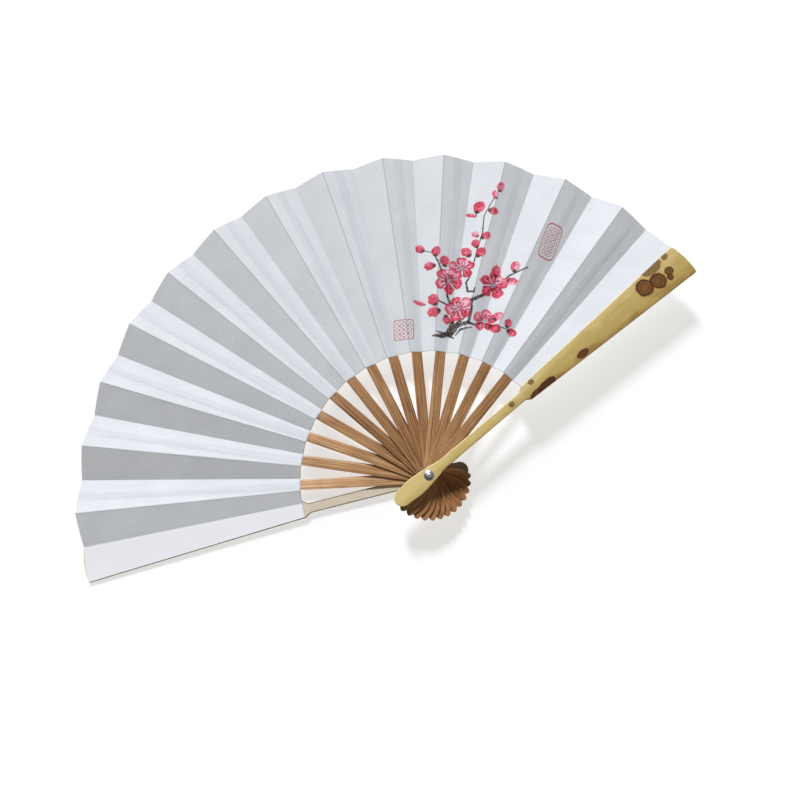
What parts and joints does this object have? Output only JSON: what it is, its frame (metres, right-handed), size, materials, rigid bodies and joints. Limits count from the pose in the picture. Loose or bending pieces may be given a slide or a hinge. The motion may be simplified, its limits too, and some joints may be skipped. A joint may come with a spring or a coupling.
{
  "type": "folding hand fan",
  "caption": "Open folding hand fan: mottled bamboo guards and brown bamboo ribs turning on one rivet, with a pleated white paper leaf painted with plum blossom.",
  "frame": {"origin": "on the rivet's axis, in the plane of the rear guard's outer face", "axes": "+Z along the rivet's axis towards the front guard, +Y along the middle rib of the open fan, +X to the front guard's side"},
  "size_m": [0.5608, 0.3181, 0.0265],
  "materials": {
    "guard_bamboo": "satin, polished yellow bamboo skin with brown mottles",
    "rib_bamboo": "satin, brown stained bamboo with straight grain",
    "leaf_paper": "matt white fibrous paper with a red and pink ink painting",
    "rivet_metal": "polished"
  },
  "bodies": {
    "rear_guard": {"rear_guard": "guard_bamboo", "leaf_rib_panel_00": "leaf_paper", "rivet_pin": "rivet_metal", "rivet_rear_washer": "rivet_metal", "rivet_front_rosette": "rivet_metal", "rivet_front_button": "rivet_metal"},
    "rib_01": {"rib_01": "rib_bamboo"},
    "rib_02": {"rib_02": "rib_bamboo"},
    "rib_03": {"rib_03": "rib_bamboo"},
    "rib_04": {"rib_04": "rib_bamboo"},
    "rib_05": {"rib_05": "rib_bamboo"},
    "rib_06": {"rib_06": "rib_bamboo"},
    "rib_07": {"rib_07": "rib_bamboo"},
    "rib_08": {"rib_08": "rib_bamboo"},
    "rib_09": {"rib_09": "rib_bamboo"},
    "rib_10": {"rib_10": "rib_bamboo"},
    "rib_11": {"rib_11": "rib_bamboo"},
    "rib_12": {"rib_12": "rib_bamboo"},
    "rib_13": {"rib_13": "rib_bamboo"},
    "front_guard": {"front_guard": "guard_bamboo", "leaf_rib_panel_14": "leaf_paper"},
    "rib_panel_01": {"leaf_rib_panel_01": "leaf_paper"},
    "rib_panel_02": {"leaf_rib_panel_02": "leaf_paper"},
    "rib_panel_03": {"leaf_rib_panel_03": "leaf_paper"},
    "rib_panel_04": {"leaf_rib_panel_04": "leaf_paper"},
    "rib_panel_05": {"leaf_rib_panel_05": "leaf_paper"},
    "rib_panel_06": {"leaf_rib_panel_06": "leaf_paper"},
    "rib_panel_07": {"leaf_rib_panel_07": "leaf_paper"},
    "rib_panel_08": {"leaf_rib_panel_08": "leaf_paper"},
    "rib_panel_09": {"leaf_rib_panel_09": "leaf_paper"},
    "rib_panel_10": {"leaf_rib_panel_10": "leaf_paper"},
    "rib_panel_11": {"leaf_rib_panel_11": "leaf_paper"},
    "rib_panel_12": {"leaf_rib_panel_12": "leaf_paper"},
    "rib_panel_13": {"leaf_rib_panel_13": "leaf_paper"},
    "free_panel_00": {"leaf_free_panel_00": "leaf_paper"},
    "free_panel_01": {"leaf_free_panel_01": "leaf_paper"},
    "free_panel_02": {"leaf_free_panel_02": "leaf_paper"},
    "free_panel_03": {"leaf_free_panel_03": "leaf_paper"},
    "free_panel_04": {"leaf_free_panel_04": "leaf_paper"},
    "free_panel_05": {"leaf_free_panel_05": "leaf_paper"},
    "free_panel_06": {"leaf_free_panel_06": "leaf_paper"},
    "free_panel_07": {"leaf_free_panel_07": "leaf_paper"},
    "free_panel_08": {"leaf_free_panel_08": "leaf_paper"},
    "free_panel_09": {"leaf_free_panel_09": "leaf_paper"},
    "free_panel_10": {"leaf_free_panel_10": "leaf_paper"},
    "free_panel_11": {"leaf_free_panel_11": "leaf_paper"},
    "free_panel_12": {"leaf_free_panel_12": "leaf_paper"},
    "free_panel_13": {"leaf_free_panel_13": "leaf_paper"}
  },
  "joints": [
    {"name": "fan_swing", "type": "hinge", "parent": "rear_guard", "child": "front_guard", "pos_m": [0, 0, 0], "axis": [0, 0, 1], "range_deg": [0, 154]},
    {"name": "rib_swing_01", "type": "hinge", "parent": "rear_guard", "child": "rib_01", "pos_m": [0, 0, 0], "axis": [0, 0, 1], "range_deg": [0, 11.01]},
    {"name": "rib_swing_02", "type": "hinge", "parent": "rear_guard", "child": "rib_02", "pos_m": [0, 0, 0], "axis": [0, 0, 1], "range_deg": [0, 22.01]},
    {"name": "rib_swing_03", "type": "hinge", "parent": "rear_guard", "child": "rib_03", "pos_m": [0, 0, 0], "axis": [0, 0, 1], "range_deg": [0, 33.01]},
    {"name": "rib_swing_04", "type": "hinge", "parent": "rear_guard", "child": "rib_04", "pos_m": [0, 0, 0], "axis": [0, 0, 1], "range_deg": [0, 44.01]},
    {"name": "rib_swing_05", "type": "hinge", "parent": "rear_guard", "child": "rib_05", "pos_m": [0, 0, 0], "axis": [0, 0, 1], "range_deg": [0, 55.01]},
    {"name": "rib_swing_06", "type": "hinge", "parent": "rear_guard", "child": "rib_06", "pos_m": [0, 0, 0], "axis": [0, 0, 1], "range_deg": [0, 66.01]},
    {"name": "rib_swing_07", "type": "hinge", "parent": "rear_guard", "child": "rib_07", "pos_m": [0, 0, 0], "axis": [0, 0, 1], "range_deg": [0, 77.01]},
    {"name": "rib_swing_08", "type": "hinge", "parent": "rear_guard", "child": "rib_08", "pos_m": [0, 0, 0], "axis": [0, 0, 1], "range_deg": [0, 88.01]},
    {"name": "rib_swing_09", "type": "hinge", "parent": "rear_guard", "child": "rib_09", "pos_m": [0, 0, 0], "axis": [0, 0, 1], "range_deg": [0, 99.01]},
    {"name": "rib_swing_10", "type": "hinge", "parent": "rear_guard", "child": "rib_10", "pos_m": [0, 0, 0], "axis": [0, 0, 1], "range_deg": [0, 110.01]},
    {"name": "rib_swing_11", "type": "hinge", "parent": "rear_guard", "child": "rib_11", "pos_m": [0, 0, 0], "axis": [0, 0, 1], "range_deg": [0, 121.01]},
    {"name": "rib_swing_12", "type": "hinge", "parent": "rear_guard", "child": "rib_12", "pos_m": [0, 0, 0], "axis": [0, 0, 1], "range_deg": [0, 132.01]},
    {"name": "rib_swing_13", "type": "hinge", "parent": "rear_guard", "child": "rib_13", "pos_m": [0, 0, 0], "axis": [0, 0, 1], "range_deg": [0, 143.01]},
    {"name": "rib_panel_tilt_01", "type": "hinge", "parent": "rib_01", "child": "rib_panel_01", "pos_m": [0, 0, 0.0047], "axis": [-0.9135, 0.4067, 0], "range_deg": [-18.01, 0], "deforming": ["leaf_rib_panel_01"]},
    {"name": "rib_panel_tilt_02", "type": "hinge", "parent": "rib_02", "child": "rib_panel_02", "pos_m": [0, 0, 0.00595], "axis": [-0.8192, 0.5736, 0], "range_deg": [-18.01, 0], "deforming": ["leaf_rib_panel_02"]},
    {"name": "rib_panel_tilt_03", "type": "hinge", "parent": "rib_03", "child": "rib_panel_03", "pos_m": [0, 0, 0.0072], "axis": [-0.6947, 0.7193, 0], "range_deg": [-18.01, 0], "deforming": ["leaf_rib_panel_03"]},
    {"name": "rib_panel_tilt_04", "type": "hinge", "parent": "rib_04", "child": "rib_panel_04", "pos_m": [0, 0, 0.00845], "axis": [-0.5446, 0.8387, 0], "range_deg": [-18.01, 0], "deforming": ["leaf_rib_panel_04"]},
    {"name": "rib_panel_tilt_05", "type": "hinge", "parent": "rib_05", "child": "rib_panel_05", "pos_m": [0, 0, 0.0097], "axis": [-0.3746, 0.9272, 0], "range_deg": [-18.01, 0], "deforming": ["leaf_rib_panel_05"]},
    {"name": "rib_panel_tilt_06", "type": "hinge", "parent": "rib_06", "child": "rib_panel_06", "pos_m": [0, 0, 0.01095], "axis": [-0.1908, 0.9816, 0], "range_deg": [-18.01, 0], "deforming": ["leaf_rib_panel_06"]},
    {"name": "rib_panel_tilt_07", "type": "hinge", "parent": "rib_07", "child": "rib_panel_07", "pos_m": [0, 0, 0.0122], "axis": [0, 1, 0], "range_deg": [-18.01, 0], "deforming": ["leaf_rib_panel_07"]},
    {"name": "rib_panel_tilt_08", "type": "hinge", "parent": "rib_08", "child": "rib_panel_08", "pos_m": [0, 0, 0.01345], "axis": [0.1908, 0.9816, 0], "range_deg": [-18.01, 0], "deforming": ["leaf_rib_panel_08"]},
    {"name": "rib_panel_tilt_09", "type": "hinge", "parent": "rib_09", "child": "rib_panel_09", "pos_m": [0, 0, 0.0147], "axis": [0.3746, 0.9272, 0], "range_deg": [-18.01, 0], "deforming": ["leaf_rib_panel_09"]},
    {"name": "rib_panel_tilt_10", "type": "hinge", "parent": "rib_10", "child": "rib_panel_10", "pos_m": [0, 0, 0.01595], "axis": [0.5446, 0.8387, 0], "range_deg": [-18.01, 0], "deforming": ["leaf_rib_panel_10"]},
    {"name": "rib_panel_tilt_11", "type": "hinge", "parent": "rib_11", "child": "rib_panel_11", "pos_m": [0, 0, 0.0172], "axis": [0.6947, 0.7193, 0], "range_deg": [-18.01, 0], "deforming": ["leaf_rib_panel_11"]},
    {"name": "rib_panel_tilt_12", "type": "hinge", "parent": "rib_12", "child": "rib_panel_12", "pos_m": [0, 0, 0.01845], "axis": [0.8192, 0.5736, 0], "range_deg": [-18.01, 0], "deforming": ["leaf_rib_panel_12"]},
    {"name": "rib_panel_tilt_13", "type": "hinge", "parent": "rib_13", "child": "rib_panel_13", "pos_m": [0, 0, 0.0197], "axis": [0.9135, 0.4067, 0], "range_deg": [-18.01, 0], "deforming": ["leaf_rib_panel_13"]},
    {"name": "free_panel_fold_00", "type": "hinge", "parent": "rear_guard", "child": "free_panel_00", "pos_m": [-0.00003, 0.00003, 0.00431], "axis": [0.9624, -0.2714, 0.0086], "range_deg": [0, 161.95], "deforming": ["leaf_free_panel_00", "leaf_rib_panel_00"]},
    {"name": "free_panel_fold_01", "type": "hinge", "parent": "rib_panel_01", "child": "free_panel_01", "pos_m": [-0.00006, 0.00007, 0.00533], "axis": [0.8929, -0.45, 0.0156], "range_deg": [0, 143.89], "deforming": ["leaf_free_panel_01"]},
    {"name": "free_panel_fold_02", "type": "hinge", "parent": "rib_panel_02", "child": "free_panel_02", "pos_m": [-0.00004, 0.00008, 0.00658], "axis": [0.7906, -0.6121, 0.0156], "range_deg": [0, 143.89], "deforming": ["leaf_free_panel_02"]},
    {"name": "free_panel_fold_03", "type": "hinge", "parent": "rib_panel_03", "child": "free_panel_03", "pos_m": [-0.00002, 0.00009, 0.00783], "axis": [0.6593, -0.7517, 0.0156], "range_deg": [0, 143.89], "deforming": ["leaf_free_panel_03"]},
    {"name": "free_panel_fold_04", "type": "hinge", "parent": "rib_panel_04", "child": "free_panel_04", "pos_m": [-0.00001, 0.00009, 0.00908], "axis": [0.5037, -0.8637, 0.0156], "range_deg": [0, 143.89], "deforming": ["leaf_free_panel_04"]},
    {"name": "free_panel_fold_05", "type": "hinge", "parent": "rib_panel_05", "child": "free_panel_05", "pos_m": [0.00001, 0.00009, 0.01033], "axis": [0.3296, -0.944, 0.0156], "range_deg": [0, 143.89], "deforming": ["leaf_free_panel_05"]},
    {"name": "free_panel_fold_06", "type": "hinge", "parent": "rib_panel_06", "child": "free_panel_06", "pos_m": [0.00003, 0.00009, 0.01158], "axis": [0.1435, -0.9895, 0.0156], "range_deg": [0, 143.89], "deforming": ["leaf_free_panel_06"]},
    {"name": "free_panel_fold_07", "type": "hinge", "parent": "rib_panel_07", "child": "free_panel_07", "pos_m": [0.00004, 0.00008, 0.01283], "axis": [-0.048, -0.9987, 0.0156], "range_deg": [0, 143.89], "deforming": ["leaf_free_panel_07"]},
    {"name": "free_panel_fold_08", "type": "hinge", "parent": "rib_panel_08", "child": "free_panel_08", "pos_m": [0.00006, 0.00007, 0.01408], "axis": [-0.2377, -0.9712, 0.0156], "range_deg": [0, 143.89], "deforming": ["leaf_free_panel_08"]},
    {"name": "free_panel_fold_09", "type": "hinge", "parent": "rib_panel_09", "child": "free_panel_09", "pos_m": [0.00007, 0.00006, 0.01533], "axis": [-0.4186, -0.908, 0.0156], "range_deg": [0, 143.89], "deforming": ["leaf_free_panel_09"]},
    {"name": "free_panel_fold_10", "type": "hinge", "parent": "rib_panel_10", "child": "free_panel_10", "pos_m": [0.00008, 0.00004, 0.01658], "axis": [-0.5842, -0.8115, 0.0156], "range_deg": [0, 143.89], "deforming": ["leaf_free_panel_10"]},
    {"name": "free_panel_fold_11", "type": "hinge", "parent": "rib_panel_11", "child": "free_panel_11", "pos_m": [0.00009, 0.00003, 0.01783], "axis": [-0.7283, -0.6851, 0.0156], "range_deg": [0, 143.89], "deforming": ["leaf_free_panel_11"]},
    {"name": "free_panel_fold_12", "type": "hinge", "parent": "rib_panel_12", "child": "free_panel_12", "pos_m": [0.00009, 0.00001, 0.01908], "axis": [-0.8456, -0.5335, 0.0156], "range_deg": [0, 143.89], "deforming": ["leaf_free_panel_12"]},
    {"name": "free_panel_fold_13", "type": "hinge", "parent": "rib_panel_13", "child": "free_panel_13", "pos_m": [0.00029, 0.0001, 0.02027], "axis": [-0.9319, -0.3624, 0.0154], "range_deg": [0, 143.97], "deforming": ["leaf_free_panel_13", "leaf_rib_panel_14"]}
  ],
  "couplings": [
    {"joint": "rib_swing_01", "follows": "fan_swing", "ratio": 0.071429},
    {"joint": "rib_swing_02", "follows": "fan_swing", "ratio": 0.14286},
    {"joint": "rib_swing_03", "follows": "fan_swing", "ratio": 0.21429},
    {"joint": "rib_swing_04", "follows": "fan_swing", "ratio": 0.28571},
    {"joint": "rib_swing_05", "follows": "fan_swing", "ratio": 0.35714},
    {"joint": "rib_swing_06", "follows": "fan_swing", "ratio": 0.42857},
    {"joint": "rib_swing_07", "follows": "fan_swing", "ratio": 0.5},
    {"joint": "rib_swing_08", "follows": "fan_swing", "ratio": 0.57143},
    {"joint": "rib_swing_09", "follows": "fan_swing", "ratio": 0.64286},
    {"joint": "rib_swing_10", "follows": "fan_swing", "ratio": 0.71429},
    {"joint": "rib_swing_11", "follows": "fan_swing", "ratio": 0.78571},
    {"joint": "rib_swing_12", "follows": "fan_swing", "ratio": 0.85714},
    {"joint": "rib_swing_13", "follows": "fan_swing", "ratio": 0.92857},
    {"joint": "rib_panel_tilt_01", "follows": "fan_swing", "ratio": -0.11688},
    {"joint": "rib_panel_tilt_02", "follows": "fan_swing", "ratio": -0.11688},
    {"joint": "rib_panel_tilt_03", "follows": "fan_swing", "ratio": -0.11688},
    {"joint": "rib_panel_tilt_04", "follows": "fan_swing", "ratio": -0.11688},
    {"joint": "rib_panel_tilt_05", "follows": "fan_swing", "ratio": -0.11688},
    {"joint": "rib_panel_tilt_06", "follows": "fan_swing", "ratio": -0.11688},
    {"joint": "rib_panel_tilt_07", "follows": "fan_swing", "ratio": -0.11688},
    {"joint": "rib_panel_tilt_08", "follows": "fan_swing", "ratio": -0.11688},
    {"joint": "rib_panel_tilt_09", "follows": "fan_swing", "ratio": -0.11688},
    {"joint": "rib_panel_tilt_10", "follows": "fan_swing", "ratio": -0.11688},
    {"joint": "rib_panel_tilt_11", "follows": "fan_swing", "ratio": -0.11688},
    {"joint": "rib_panel_tilt_12", "follows": "fan_swing", "ratio": -0.11688},
    {"joint": "rib_panel_tilt_13", "follows": "fan_swing", "ratio": -0.11688},
    {"joint": "free_panel_fold_00", "follows": "fan_swing", "ratio": 1.0516},
    {"joint": "free_panel_fold_01", "follows": "fan_swing", "ratio": 0.93431},
    {"joint": "free_panel_fold_02", "follows": "fan_swing", "ratio": 0.93431},
    {"joint": "free_panel_fold_03", "follows": "fan_swing", "ratio": 0.93431},
    {"joint": "free_panel_fold_04", "follows": "fan_swing", "ratio": 0.93431},
    {"joint": "free_panel_fold_05", "follows": "fan_swing", "ratio": 0.93431},
    {"joint": "free_panel_fold_06", "follows": "fan_swing", "ratio": 0.93431},
    {"joint": "free_panel_fold_07", "follows": "fan_swing", "ratio": 0.93431},
    {"joint": "free_panel_fold_08", "follows": "fan_swing", "ratio": 0.93431},
    {"joint": "free_panel_fold_09", "follows": "fan_swing", "ratio": 0.93431},
    {"joint": "free_panel_fold_10", "follows": "fan_swing", "ratio": 0.93431},
    {"joint": "free_panel_fold_11", "follows": "fan_swing", "ratio": 0.93431},
    {"joint": "free_panel_fold_12", "follows": "fan_swing", "ratio": 0.93431},
    {"joint": "free_panel_fold_13", "follows": "fan_swing", "ratio": 0.93479}
  ]
}
